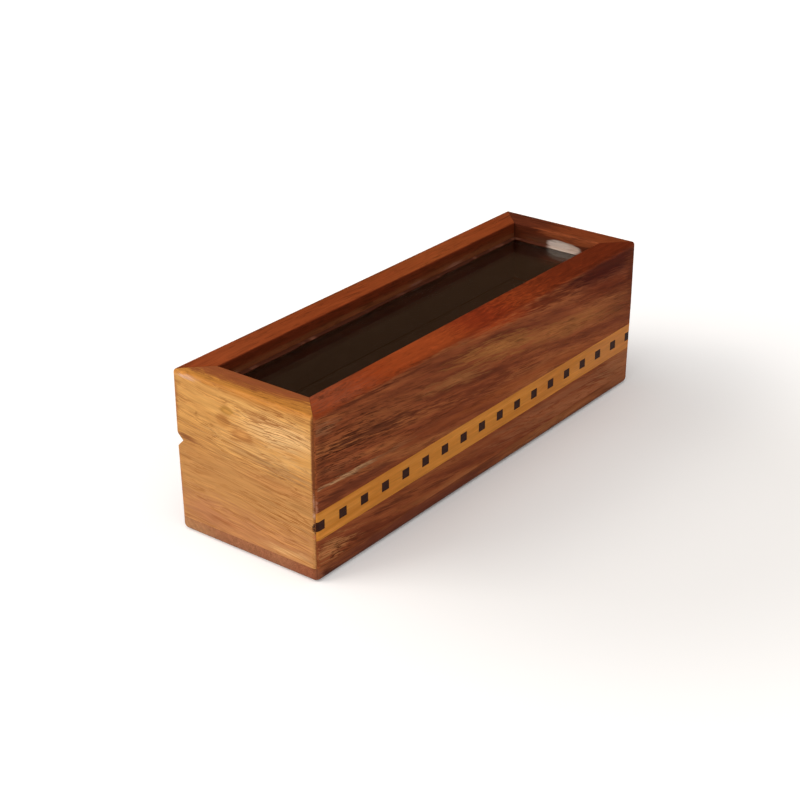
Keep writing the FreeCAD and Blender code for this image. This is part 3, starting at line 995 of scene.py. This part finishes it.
@dataclass(frozen=True)
class EasedEdges:
    """Outer edges of the boards, eased less than those of the plain solids.

    The boards keep all their other faces. The V groove opens further where it runs out through the
    upright corners, because less of it is rounded away there. The upright corners of the base keep
    the radius of the bottom board at their foot and tighten from there up to the seam.

    Attributes:
        low: Lowest corner of the box.
        high: Highest corner of the box.
        plain_mm: Radius of the outer edges of the solids.
        eased_mm: Radius that they get here.
        foot_mm: Top of the bottom board.
        groove_mm: Bottom of the V groove, as its y and its z.
        slack_mm: How far each face of the groove starts above or under the groove's bottom.
        near_mm: How far a corner of a facet may lie from the surface that it belongs to.
    """

    low: Vector
    high: Vector
    plain_mm: float = 2.4
    eased_mm: float = 1.3
    foot_mm: float = 5.4
    groove_mm: Pair = (27.8, 35.45)
    slack_mm: float = 0.0707
    near_mm: float = 0.02

    def ease(self, mesh: bpy.types.Mesh) -> int:
        """Moves the rounded edges of a mesh out to their tighter radius.

        Args:
            mesh: Mesh of a board, in metres.

        Returns:
            How many corners of facets moved.
        """
        moved = 0
        for vertex in mesh.vertices:
            place = self._eased(vertex.co)
            if place is not None:
                vertex.co = place
                moved += 1
        mesh.update()
        return moved

    def _in_groove(self, place: Vector) -> bool:
        """Says whether a corner lies on one of the two faces of the V groove."""
        rise = abs(place.z - self.groove_mm[1] * MM) - self.slack_mm * MM
        return abs(rise - (place.y - self.groove_mm[0] * MM)) < self.near_mm * MM

    def _radius_mm(self, height: float) -> float:
        """Gives the radius of the outer edges at a height in metres."""
        climbed = (height / MM - self.foot_mm) / (self.groove_mm[1] - self.foot_mm)
        return self.plain_mm + (self.eased_mm - self.plain_mm) * min(max(climbed, 0.0), 1.0)

    def _eased(self, place: Vector) -> Vector | None:
        """Gives the new place of a corner that lies on a rounded edge, or None for any other."""
        gaps = [
            (place[axis] - self.low[axis], 1.0)
            if place[axis] - self.low[axis] < self.high[axis] - place[axis]
            else (self.high[axis] - place[axis], -1.0)
            for axis in range(3)
        ]
        radius = self.plain_mm * MM
        near = self.near_mm * MM
        rounded = [axis for axis in range(3) if gaps[axis][0] < radius + near]
        reach = math.sqrt(sum((radius - gaps[axis][0]) ** 2 for axis in rounded))
        if len(rounded) < 2 or abs(reach - radius) > near:
            return None
        eased = place.copy()
        for axis in rounded:
            gap, side = gaps[axis]
            eased[axis] -= side * gap * (1.0 - self._radius_mm(place.z) / self.plain_mm)
        if self._in_groove(place):
            eased.z += math.copysign(eased.y - place.y, place.z - self.groove_mm[1] * MM)
        return eased


@dataclass
class Boards:
    """The eight mitred boards, the bottom board and the strip of the banding."""

    nodes: dict[str, bpy.types.Object]
    sizes: BoxSizes
    edges: EasedEdges
    finishes: dict[str, tuple[WoodFinish, str]] = field(
        default_factory=lambda: {
            "front_board": (FRONT_WOOD, "front_wood"),
            "back_board": (BACK_WOOD, "back_wood"),
            "left_board": (LEFT_WOOD, "left_wood"),
            "right_board": (RIGHT_WOOD, "right_wood"),
            "bottom_board": (BOTTOM_WOOD, "bottom_wood"),
            "banding_strip": (BANDING_LIGHT, "banding_light"),
        }
    )

    def build(self) -> None:
        """Makes each board, so that the base and the lid share the grain that they were cut from."""
        for ending, (finish, slot) in self.finishes.items():
            material = finish.material(self.sizes)
            for name, node in self.nodes.items():
                if not name.endswith(ending):
                    continue
                piece = new_piece(f"eased_{name}", node.data.copy())
                moved = self.edges.ease(piece.data)
                dress(piece, material)
                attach(piece, "lid" if name.startswith("lid") else "base")
                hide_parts(name)
                LOG.info("%s: %s, %d corners eased", piece.name, finish.name, moved)


@dataclass
class Squares:
    """Row of dark squares let through the banding by hand, each a little out of true.

    Attributes:
        box_low: Lowest corner of the row.
        box_high: Its highest corner.
        sizes: Sizes of the box.
        count: Squares in the row.
        end_mm: From an end of the box to the middle of the first square.
        size_mm: Width, depth and height of a square.
        fit_mm: Glue line round a square.
        corner_mm: Radius of the box's upright corners at the height of the row.
        turn: Most that a square is turned, in degrees.
        least: Smallest share of its size that a square is cut to, along each axis.
        seed: Start of the random turns and sizes.
    """

    box_low: Vector
    box_high: Vector
    sizes: BoxSizes
    count: int = 18
    end_mm: float = 2.45
    size_mm: tuple[float, float, float] = (4.0, 2.0, 3.6)
    fit_mm: float = 0.05
    corner_mm: float = 1.9
    turn: float = 1.0
    least: tuple[float, float, float] = (0.965, 1.0, 0.965)
    seed: int = 7

    def build(self) -> None:
        """Makes the row in Geometry Nodes and puts it in place of the plain solids."""
        middle = (self.box_low + self.box_high) / 2
        width, depth, height = self.size_mm
        reach = (self.sizes.half_length_mm - self.end_mm) * MM
        square = Vector((width - 2 * self.fit_mm, depth, height - 2 * self.fit_mm)) * MM
        inputs = {
            "Count": ("Int", self.count),
            "First": ("Vector", Vector((-reach, middle.y, middle.z))),
            "Last": ("Vector", Vector((reach, middle.y, middle.z))),
            "Square": ("Vector", square),
            "Turn": ("Float", math.radians(self.turn)),
            "Half Length": ("Float", self.sizes.half_length_mm * MM),
            "Half Width": ("Float", self.sizes.half_width_mm * MM),
            "Corner": ("Float", self.corner_mm * MM),
            "Seed": ("Int", self.seed),
            "Finish": ("Material", BANDING_DARK.material(self.sizes)),
        }
        piece = grown("inlaid_squares", inputs, self._row)
        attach(piece, "base")
        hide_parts("banding_squares")
        LOG.info("%s: %d squares", piece.name, self.count)

    def _row(self, tree: Tree, given: Sockets) -> Socket:
        """Repeats the square along the row, each turned and sized a little, and trims the row."""
        line = {"Count": given["Count"], "Start Location": given["First"], "Offset": given["Last"]}
        points = add(tree, "GeometryNodeMeshLine", line, mode="END_POINTS").outputs[0]
        cube = {"Size": given["Square"], "Vertices X": 9, "Vertices Y": 3, "Vertices Z": 3}
        turn = {
            "Min": calculated(tree, "MULTIPLY", given["Turn"], -1.0),
            "Max": given["Turn"],
            "Seed": given["Seed"],
        }
        turn = add(tree, "FunctionNodeRandomValue", turn, data_type="FLOAT").outputs["Value"]
        size = {0: self.least, 1: (1.0, 1.0, 1.0), "Seed": given["Seed"]}
        placing = {
            "Points": points,
            "Instance": add(tree, "GeometryNodeMeshCube", cube).outputs[0],
            "Rotation": add(tree, "ShaderNodeCombineXYZ", {"Y": turn}).outputs[0],
            "Scale": add(tree, "FunctionNodeRandomValue", size, data_type="FLOAT_VECTOR").outputs["Value"],
        }
        placed = add(tree, "GeometryNodeInstanceOnPoints", placing).outputs[0]
        solid = add(tree, "GeometryNodeRealizeInstances", {0: placed}).outputs[0]
        trimmed = {"Geometry": solid, "Position": self._trimmed_place(tree, given)}
        return add(tree, "GeometryNodeSetPosition", trimmed).outputs[0]

    def _trimmed_place(self, tree: Tree, given: Sockets) -> Socket:
        """Keeps each point between the rounded front of the box and the mitre at its end."""
        position = add(tree, "GeometryNodeInputPosition").outputs[0]
        xyz = add(tree, "ShaderNodeSeparateXYZ", {0: position}).outputs
        corner, half_length, half_width = given["Corner"], given["Half Length"], given["Half Width"]
        from_middle = calculated(tree, "ABSOLUTE", xyz["X"])
        straight = calculated(tree, "SUBTRACT", half_length, corner)
        past = calculated(tree, "MAXIMUM", calculated(tree, "SUBTRACT", from_middle, straight), 0.0)
        areas = [calculated(tree, "MULTIPLY", side, side) for side in (corner, past)]
        rise = calculated(tree, "SQRT", calculated(tree, "SUBTRACT", *areas))
        face = calculated(tree, "SUBTRACT", calculated(tree, "SUBTRACT", corner, half_width), rise)
        to_end = calculated(tree, "SUBTRACT", half_length, from_middle)
        mitre = calculated(tree, "SUBTRACT", to_end, half_width)
        depth = calculated(tree, "MAXIMUM", calculated(tree, "MINIMUM", xyz["Y"], mitre), face)
        return add(tree, "ShaderNodeCombineXYZ", {"X": xyz["X"], "Y": depth, "Z": xyz["Z"]}).outputs[0]


@dataclass
class Lining:
    """Covered cards on the walls and the pad on the floor, in place of their plain solids.

    Attributes:
        nodes: The frame's nodes by name.
        roll_mm: Radius of the cloth where it rolls over the edge of a card.
        pad_roll_mm: Radius of the cloth where it rolls under the pad.
        crown_mm: How far the pad falls from its middle to its edges.
        crown_powers: How late it falls along its length and across it.
        cuts: Cuts through each long edge of the pad.
        finish: The cloth.
    """

    nodes: dict[str, bpy.types.Object]
    roll_mm: float = 0.42
    pad_roll_mm: float = 0.8
    crown_mm: float = 0.5
    crown_powers: tuple[int, int] = (16, 4)
    cuts: int = 24
    finish: SuedeFinish = SuedeFinish()

    def build(self) -> None:
        """Builds every liner and the pad."""
        cloth = self.finish.material()
        for name in sorted(self.nodes):
            if name.endswith("_liner"):
                card = rolled_block(f"covered_{name}", *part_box(name), self.roll_mm * MM)
                self._place(card, name, name.split("_")[0], cloth)
        pad = self._place(self._pad(), "floor_pad", "base", cloth)

    def _place(
        self, mesh: bpy.types.Mesh, node: str, body: str, cloth: bpy.types.Material
    ) -> bpy.types.Object:
        """Makes a piece and puts it in place of its node.

        Args:
            mesh: Mesh of the new piece.
            node: The node that it stands for.
            body: The body that it rides on.
            cloth: The suede.

        Returns:
            The piece.
        """
        piece = new_piece(f"covered_{node}", mesh)
        dress(piece, cloth)
        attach(piece, body)
        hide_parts(node)
        LOG.info("%s on %s", piece.name, body)
        return piece

    def _pad(self) -> bpy.types.Mesh:
        """Makes the floor pad, full in the middle and rolled under at its edges."""
        low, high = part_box("floor_pad")
        mesh = rolled_block("covered_floor_pad", low, high, self.pad_roll_mm * MM)
        shape = bmesh.new()
        shape.from_mesh(mesh)
        long_edges = [edge for edge in shape.edges if edge.calc_length() > 10 * MM]
        bmesh.ops.subdivide_edges(shape, edges=long_edges, cuts=self.cuts, use_grid_fill=True)
        middle, half = (low + high) / 2, (high - low) / 2
        power_along, power_across = self.crown_powers
        for vertex in shape.verts:
            if vertex.co.z > middle.z:
                across = 1 - abs((vertex.co.y - middle.y) / half.y) ** power_across
                along = 1 - abs((vertex.co.x - middle.x) / half.x) ** power_along
                vertex.co.z -= self.crown_mm * MM * (1 - across * along)
        shape.to_mesh(mesh)
        shape.free()
        return mesh


def rolled_block(name: str, low: Vector, high: Vector, radius: float) -> bpy.types.Mesh:
    """Makes a box between two corners with all its edges rolled round.

    Args:
        name: Name of the mesh.
        low: Lowest corner.
        high: Highest corner.
        radius: Radius of the edges.

    Returns:
        The mesh.
    """
    shape = bmesh.new()
    size = high - low
    place = Matrix.Translation((low + high) / 2) @ Matrix.Diagonal((*size, 1.0))
    bmesh.ops.create_cube(shape, size=1.0, matrix=place)
    edges = list(shape.edges)
    bmesh.ops.bevel(shape, geom=edges, offset=radius, segments=4, profile=0.5, affect="EDGES")
    for face in shape.faces:
        face.smooth = True
    mesh = bpy.data.meshes.new(name)
    shape.to_mesh(mesh)
    shape.free()
    return mesh


@dataclass
class Hinges:
    """The barrels and pins of the two hinges."""

    nodes: dict[str, bpy.types.Object]
    finish: BrassFinish = BrassFinish()

    def build(self) -> None:
        """Dresses each barrel and pin in brass."""
        brass = self.finish.material()
        for name, node in self.nodes.items():
            if "hinge" in name:
                dress(node, brass)
                LOG.info("%s: %s", name, self.finish.name)


@dataclass
class Window:
    """The pane in the lid."""

    pane: bpy.types.Object
    finish: GlassFinish = GlassFinish()

    def build(self) -> None:
        """Dresses the pane in glass."""
        dress(self.pane, self.finish.material())
        LOG.info("%s: %s", self.pane.name, self.finish.name)


@dataclass
class Glazing:
    """Uneven bead of glue that holds the pane in its frame.

    Attributes:
        low: Lower corner of the opening over the pane.
        high: Its upper corner, with the top of the pane for its height.
        spread_mm: How far the bead mostly reaches over the pane.
        rise_mm: How far it mostly climbs up the wood.
        uneven: How far its size strays, as a share of it.
        step_mm: Length of its facets.
        lumps: Lumps in a metre of the bead.
        seed: Start of the random sizes.
        finish: The glue.
    """

    # Way between two seeds in the noise, and what brings its strays up to about 1.
    SEED_STEP: ClassVar[float] = 3.7
    GAIN: ClassVar[float] = 3.0

    low: Vector
    high: Vector
    spread_mm: float = 1.7
    rise_mm: float = 0.4
    uneven: float = 0.5
    step_mm: float = 1.5
    lumps: float = 70.0
    seed: int = 5
    finish: GlueFinish = GlueFinish()

    def build(self) -> None:
        """Lays the bead in Geometry Nodes."""
        inputs = {
            "Length": ("Float", self.high.x - self.low.x),
            "Width": ("Float", self.high.y - self.low.y),
            "Height": ("Float", self.high.z),
            "Spread": ("Float", self.spread_mm * MM),
            "Rise": ("Float", self.rise_mm * MM),
            "Unevenness": ("Float", self.uneven),
            "Seed": ("Int", self.seed),
            "Finish": ("Material", self.finish.material()),
        }
        piece = grown("glue_bead", inputs, self._bead)
        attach(piece, "lid")
        LOG.info("%s: %d faces", piece.name, len(piece.data.polygons))

    def _bead(self, tree: Tree, given: Sockets) -> Socket:
        """Runs a bead of uneven thickness round the pane."""
        outline = {"Width": given["Length"], "Height": given["Width"]}
        frame = add(tree, "GeometryNodeCurvePrimitiveQuadrilateral", outline).outputs[0]
        lift = add(tree, "ShaderNodeCombineXYZ", {"Z": given["Height"]}).outputs[0]
        raised = add(tree, "GeometryNodeSetPosition", {"Geometry": frame, "Offset": lift}).outputs[0]
        steps = {"Curve": raised, "Length": self.step_mm * MM}
        fine = add(tree, "GeometryNodeResampleCurve", steps, mode="LENGTH").outputs[0]
        cloud = {
            "Vector": add(tree, "GeometryNodeInputPosition").outputs[0],
            "W": calculated(tree, "MULTIPLY", given["Seed"], self.SEED_STEP),
            "Scale": self.lumps,
            "Detail": 2.0,
        }
        value = add(tree, "ShaderNodeTexNoise", cloud, noise_dimensions="4D").outputs["Fac"]
        centred = calculated(tree, "SUBTRACT", value, 0.5)
        strength = calculated(tree, "MULTIPLY", given["Unevenness"], self.GAIN)
        size = add(tree, "ShaderNodeCombineXYZ", {"X": given["Spread"], "Y": given["Rise"], "Z": 1.0})
        ring = add(tree, "GeometryNodeCurvePrimitiveCircle", {"Resolution": 16, "Radius": 1.0})
        oval = {"Geometry": ring.outputs[0], "Scale": size.outputs[0]}
        sweep = {
            "Curve": add(tree, "GeometryNodeSetCurveNormal", {"Curve": fine}, mode="Z_UP").outputs[0],
            "Profile Curve": add(tree, "GeometryNodeTransform", oval).outputs[0],
            "Scale": calculated(tree, "MULTIPLY_ADD", centred, strength, 1.0),
        }
        tube = add(tree, "GeometryNodeCurveToMesh", sweep).outputs[0]
        return add(tree, "GeometryNodeSetShadeSmooth", {"Geometry": tube}).outputs[0]


def pointing(turn: float, rise: float) -> Vector:
    """Way that points a turn from +X towards +Y and a rise above the table, both in degrees."""
    turn, rise = math.radians(turn), math.radians(rise)
    return Vector((math.cos(turn) * math.cos(rise), math.sin(turn) * math.cos(rise), math.sin(rise)))


@dataclass(frozen=True)
class Lamp:
    """Soft box of the studio.

    Attributes:
        name: Its name.
        heading: Where it stands, in degrees round from +X towards +Y.
        elevation: How high it stands, in degrees above the table.
        distance: How far off, in metres.
        size: Width and height, in metres.
        power: In watts.
        colour: sRGB hex colour.
    """

    name: str
    heading: float
    elevation: float
    distance: float
    size: tuple[float, float]
    power: float
    colour: str = "#ffffff"

    def build(self, target: Vector) -> None:
        """Hangs the lamp so that it faces a target."""
        data = bpy.data.lights.new(self.name, "AREA")
        data.shape = "RECTANGLE"
        data.size, data.size_y = self.size
        data.energy = self.power
        data.color = linear(self.colour)[:3]
        lamp = bpy.data.objects.new(self.name, data)
        bpy.context.scene.collection.objects.link(lamp)
        out = pointing(self.heading, self.elevation)
        lamp.location = target + out * self.distance
        lamp.rotation_euler = out.to_track_quat("Z", "Y").to_euler()
        LOG.info("lamp %s", self.name)


@dataclass
class Studio:
    """Table, backdrop light, lamps and camera.

    Attributes:
        lens_mm: Focal length.
        place_mm: Camera from the middle of the box's underside.
        heading: Way that the camera looks, in degrees round from +X towards +Y.
        pitch: How far it looks down, in degrees.
        roll: How far it leans, in degrees.
        sensor_mm: Width of the sensor.
        table: Half the side of the table, in metres.
        sunk_mm: How far the table lies under the box, so that the two faces don't fight.
        shadow_mm: Middle of the box's shadow.
        table_lift: Light added to the table where it is seen, so that it comes out white: in the
            shadow, by the box and far from it.
        lift_reach: How far these three lie from the middle of the shadow, in metres.
        lamps: The soft boxes.
        lit_mm: Point that they face.
        flag_way: Way to the dark flag.
        flag_edge: Cosine off that way at the flag's edge and where it is full.
        flag_colour: sRGB hex colour of the flag.
        bright_way: Way to the brightest side of the room.
        dimmest: Brightness of the opposite side, as a share.
    """

    lens_mm: float = 77.018
    place_mm: tuple[float, float, float] = (-467.81, -348.49, 300.9)
    heading: float = 37.5553
    pitch: float = 25.6695
    roll: float = -0.1605
    sensor_mm: float = 36.0
    table: float = 4.0
    sunk_mm: float = 0.02
    shadow_mm: tuple[float, float, float] = (10.0, -80.0, 0.0)
    table_lift: tuple[float, float, float] = (0.11, 0.3, 0.48)
    lift_reach: tuple[float, float, float] = (0.06, 0.17, 0.7)
    lamps: tuple[Lamp, ...] = (
        Lamp("key_soft_box", 140.0, 34.0, 3.0, (1.8, 1.4), 33.0, "#fffaf4"),
        Lamp("overhead_soft_box", 190.0, 76.0, 3.0, (2.4, 2.4), 18.0),
    )
    lit_mm: tuple[float, float, float] = (0.0, 0.0, 30.0)
    flag_way: tuple[float, float, float] = (0.70711, 0.70711, 0.62)
    flag_edge: Pair = (0.62, 0.84)
    flag_colour: str = "#573b28"
    bright_way: tuple[float, float, float] = (-0.75, 0.35, 0.3)
    dimmest: float = 0.2

    def build(self) -> None:
        """Sets up everything round the box."""
        scene = bpy.context.scene
        scene.view_settings.view_transform = "Standard"
        self._camera(scene)
        self._floor()
        self._surroundings(scene)
        for lamp in self.lamps:
            lamp.build(Vector(self.lit_mm) * MM)

    def _camera(self, scene: bpy.types.Scene) -> None:
        """Places the camera in a scene."""
        ahead = pointing(self.heading, -self.pitch)
        right = ahead.cross(Vector((0, 0, 1))).normalized()
        under = ahead.cross(right)
        lean = math.radians(self.roll)
        across = right * math.cos(lean) - under * math.sin(lean)
        up = -(right * math.sin(lean) + under * math.cos(lean))
        data = bpy.data.cameras.new("camera")
        data.lens = self.lens_mm
        data.sensor_width = self.sensor_mm
        data.clip_start, data.clip_end = 0.01, 50.0
        camera = bpy.data.objects.new("camera", data)
        scene.collection.objects.link(camera)
        turned = Matrix((across, up, -ahead)).transposed().to_4x4()
        camera.matrix_world = Matrix.Translation(Vector(self.place_mm) * MM) @ turned
        scene.camera = camera

    def _floor(self) -> None:
        """Lays the white table."""
        shape = bmesh.new()
        bmesh.ops.create_grid(shape, x_segments=1, y_segments=1, size=self.table)
        mesh = bpy.data.meshes.new("table")
        shape.to_mesh(mesh)
        shape.free()
        floor = new_piece("table", mesh)
        floor.location.z = -self.sunk_mm * MM
        dress(floor, self._paper())
        floor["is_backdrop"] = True

    def _paper(self) -> bpy.types.Material:
        """Makes white paper, lifted to pure white where it is seen and not in the shadow."""
        material, tree = new_material("white_paper_sweep")
        paper = add(tree, "ShaderNodeBsdfDiffuse", {"Color": linear("#f3f1ee")}).outputs[0]
        ray = add(tree, "ShaderNodeLightPath").outputs
        seen = calculated(tree, "MAXIMUM", ray["Is Camera Ray"], ray["Is Glossy Ray"])
        seen = calculated(tree, "MAXIMUM", seen, ray["Is Transmission Ray"])
        away = on_vectors(tree, "DISTANCE", object_place(tree), Vector(self.shadow_mm) * MM)
        shadow, near, far = self.table_lift
        dark, beside, distant = self.lift_reach
        close = ranged(tree, away, dark, beside, shadow, near)
        further = ranged(tree, away, beside, distant, high=far - near, smooth=False)
        lift = calculated(tree, "MULTIPLY", seen, calculated(tree, "ADD", close, further))
        glow = add(tree, "ShaderNodeEmission", {"Color": linear("#ffffff"), "Strength": lift})
        both = add(tree, "ShaderNodeAddShader", {0: paper, 1: glow.outputs[0]})
        add(tree, "ShaderNodeOutputMaterial", {"Surface": both.outputs[0]})
        return material

    def _surroundings(self, scene: bpy.types.Scene) -> None:
        """Gives a scene a white room with a dark flag behind the box, which the pane mirrors."""
        world = bpy.data.worlds.new("studio")
        scene.world = world
        world.use_nodes = True
        tree = world.node_tree
        tree.nodes.clear()
        way = add(tree, "ShaderNodeTexCoord").outputs["Generated"]
        facing = on_vectors(tree, "DOT_PRODUCT", way, Vector(self.flag_way).normalized())
        flag = ranged(tree, facing, *self.flag_edge)
        side = on_vectors(tree, "DOT_PRODUCT", way, Vector(self.bright_way).normalized())
        level = ranged(tree, side, -1.0, 1.0, self.dimmest, 1.0, smooth=False)
        room = on_vectors(tree, "SCALE", linear("#ffffff")[:3], Scale=level)
        colour = mixed(tree, flag, room, linear(self.flag_colour))
        glow = add(tree, "ShaderNodeBackground", {"Color": colour})
        add(tree, "ShaderNodeOutputWorld", {"Surface": glow.outputs[0]})


def main() -> None:
    """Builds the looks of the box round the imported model."""
    logging.basicConfig(level=logging.INFO, format="%(message)s")
    for item in list(bpy.data.objects):
        bpy.data.objects.remove(item)
    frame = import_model()
    cad_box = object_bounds()
    nodes = frame["nodes"]
    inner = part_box("lid_front_board")[1].y
    sizes = BoxSizes(cad_box[1].x / MM, cad_box[1].y / MM, (inner - cad_box[0].y) / MM)

    Boards(nodes, sizes, EasedEdges(*cad_box)).build()
    Squares(*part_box("banding_squares"), sizes).build()
    Lining(nodes).build()
    Hinges(nodes).build()
    Window(nodes["glass_pane"]).build()
    hole_x = (sizes.half_length_mm - sizes.wall_mm) * MM
    hole_y = (sizes.half_width_mm - sizes.wall_mm) * MM
    pane_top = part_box("glass_pane")[1].z
    Glazing(Vector((-hole_x, -hole_y, pane_top)), Vector((hole_x, hole_y, pane_top))).build()
    Studio().build()


if __name__ == "__main__":
    main()
